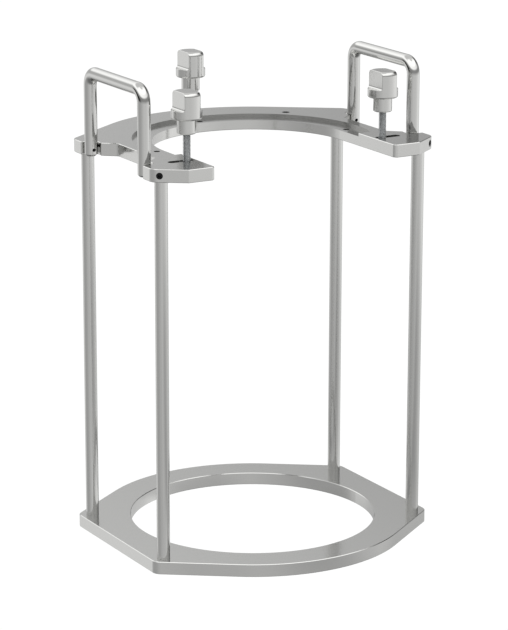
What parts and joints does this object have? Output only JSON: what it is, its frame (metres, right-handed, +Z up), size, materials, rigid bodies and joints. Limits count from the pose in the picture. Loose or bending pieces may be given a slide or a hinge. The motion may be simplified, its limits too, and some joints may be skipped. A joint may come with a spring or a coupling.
{
  "type": "vessel holding frame",
  "caption": "Open steel frame that holds a laboratory vessel: ring base, upright rods, horseshoe top plate with clamp knobs and folding handles.",
  "frame": {"origin": "centre of the base plate's hole, on its underside, where the frame stands", "axes": "+Z up along the rods, -Y towards the open mouth of the upper plate, +X to the right seen from the mouth"},
  "size_m": [0.246, 0.246, 0.3735],
  "materials": {
    "plate_steel": "ground stainless steel, satin",
    "rod_steel": "drawn stainless bar, bright",
    "handle_steel": "bent stainless bar, polished",
    "knob_steel": "turned stainless steel, bright",
    "screw_steel": "stainless screw stock, plain",
    "spring_steel": "dark spring steel",
    "black_steel": "black oxide, satin"
  },
  "bodies": {
    "frame": {"base_plate": "plate_steel", "top_plate": "plate_steel", "rod_front_left": "rod_steel", "rod_front_right": "rod_steel", "rod_rear_left": "rod_steel", "rod_rear_right": "rod_steel", "base_screws": "screw_steel", "rod_set_screws": "black_steel", "hinge_pins": "screw_steel", "slot_cover_left": "plate_steel", "slot_cover_right": "plate_steel", "slot_cover_rear": "plate_steel", "cover_screws": "screw_steel"},
    "handle_left": {"handle_left": "handle_steel"},
    "handle_right": {"handle_right": "handle_steel"},
    "carriage_left": {"slot_nut_left": "screw_steel"},
    "sleeve_left": {"pressure_sleeve_left": "knob_steel"},
    "screw_left": {"clamp_stud_left": "screw_steel", "retaining_ring_left": "spring_steel", "clamp_knob_left": "knob_steel"},
    "carriage_right": {"slot_nut_right": "screw_steel"},
    "sleeve_right": {"pressure_sleeve_right": "knob_steel"},
    "screw_right": {"clamp_stud_right": "screw_steel", "retaining_ring_right": "spring_steel", "clamp_knob_right": "knob_steel"},
    "carriage_rear": {"slot_nut_rear": "screw_steel"},
    "sleeve_rear": {"pressure_sleeve_rear": "knob_steel"},
    "screw_rear": {"clamp_stud_rear": "screw_steel", "retaining_ring_rear": "spring_steel", "clamp_knob_rear": "knob_steel"}
  },
  "joints": [
    {"name": "handle_left_fold", "type": "hinge", "parent": "frame", "child": "handle_left", "pos_m": [-0.118, 0, 0.309], "axis": [0, -1, 0], "range_deg": [-4, 180]},
    {"name": "handle_right_fold", "type": "hinge", "parent": "frame", "child": "handle_right", "pos_m": [0.118, 0, 0.309], "axis": [0, 1, 0], "range_deg": [-4, 180]},
    {"name": "clamp_left_slide", "type": "slide", "parent": "frame", "child": "carriage_left", "axis": [-1, 0, 0], "range_m": [-0.0015, 0.0116]},
    {"name": "clamp_left_lift", "type": "slide", "parent": "carriage_left", "child": "sleeve_left", "axis": [0, 0, -1], "range_m": [-0.002, 0.0195]},
    {"name": "clamp_left_turn", "type": "hinge", "parent": "sleeve_left", "child": "screw_left", "pos_m": [-0.08591, -0.0496, 0.34], "axis": [0, 0, -1], "range_deg": [-720.5, 7020.5]},
    {"name": "clamp_right_slide", "type": "slide", "parent": "frame", "child": "carriage_right", "axis": [1, 0, 0], "range_m": [-0.0015, 0.0116]},
    {"name": "clamp_right_lift", "type": "slide", "parent": "carriage_right", "child": "sleeve_right", "axis": [0, 0, -1], "range_m": [-0.002, 0.0195]},
    {"name": "clamp_right_turn", "type": "hinge", "parent": "sleeve_right", "child": "screw_right", "pos_m": [0.08591, -0.0496, 0.34], "axis": [0, 0, -1], "range_deg": [-720.5, 7020.5]},
    {"name": "clamp_rear_slide", "type": "slide", "parent": "frame", "child": "carriage_rear", "axis": [0, 1, 0], "range_m": [-0.0004, 0.0116]},
    {"name": "clamp_rear_lift", "type": "slide", "parent": "carriage_rear", "child": "sleeve_rear", "axis": [0, 0, -1], "range_m": [-0.002, 0.0195]},
    {"name": "clamp_rear_turn", "type": "hinge", "parent": "sleeve_rear", "child": "screw_rear", "pos_m": [0, 0.0992, 0.34], "axis": [0, 0, -1], "range_deg": [-720.5, 7020.5]}
  ],
  "couplings": [
    {"joint": "clamp_left_turn", "follows": "clamp_left_lift", "rad_per_m": 6283.2},
    {"joint": "clamp_right_turn", "follows": "clamp_right_lift", "rad_per_m": 6283.2},
    {"joint": "clamp_rear_turn", "follows": "clamp_rear_lift", "rad_per_m": 6283.2}
  ]
}
